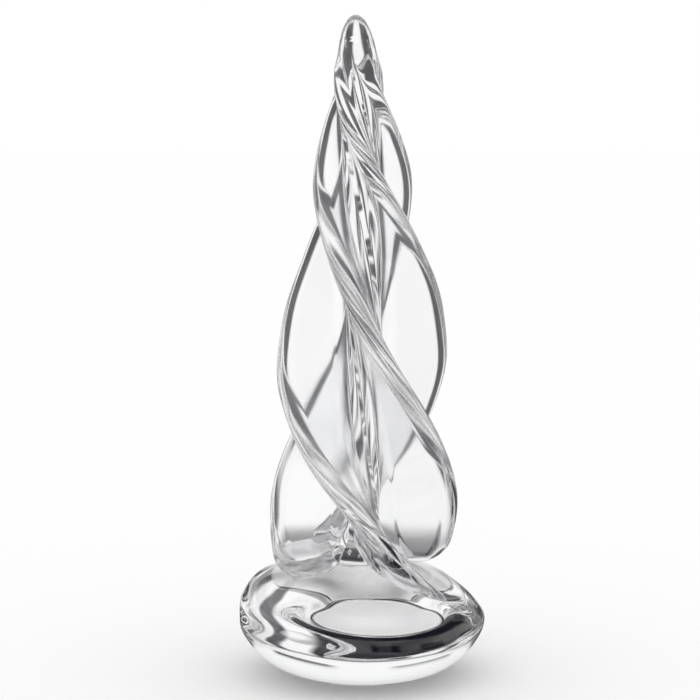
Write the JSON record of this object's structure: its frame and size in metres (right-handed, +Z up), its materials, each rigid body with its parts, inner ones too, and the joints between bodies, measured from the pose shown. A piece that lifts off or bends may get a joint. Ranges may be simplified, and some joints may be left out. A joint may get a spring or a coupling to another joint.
{
  "type": "glass tree sculpture",
  "caption": "Clear solid glass tree: a tapering spire of twisted, round-rimmed fins on a thick pebble foot with a polished flat underside.",
  "frame": {"origin": "middle of the flat underside, on the surface the sculpture stands on", "axes": "+Z up the spire, -Y towards the viewer of the pictured side, +X to the viewer's right"},
  "size_m": [0.0941, 0.0901, 0.25],
  "materials": {
    "clear_glass": "fire-polished solid clear glass"
  },
  "bodies": {
    "root": {"foot": "clear_glass", "join_wafer": "clear_glass", "core": "clear_glass", "fin_back": "clear_glass", "fin_left": "clear_glass", "fin_right": "clear_glass", "fin_front": "clear_glass"}
  },
  "joints": []
}
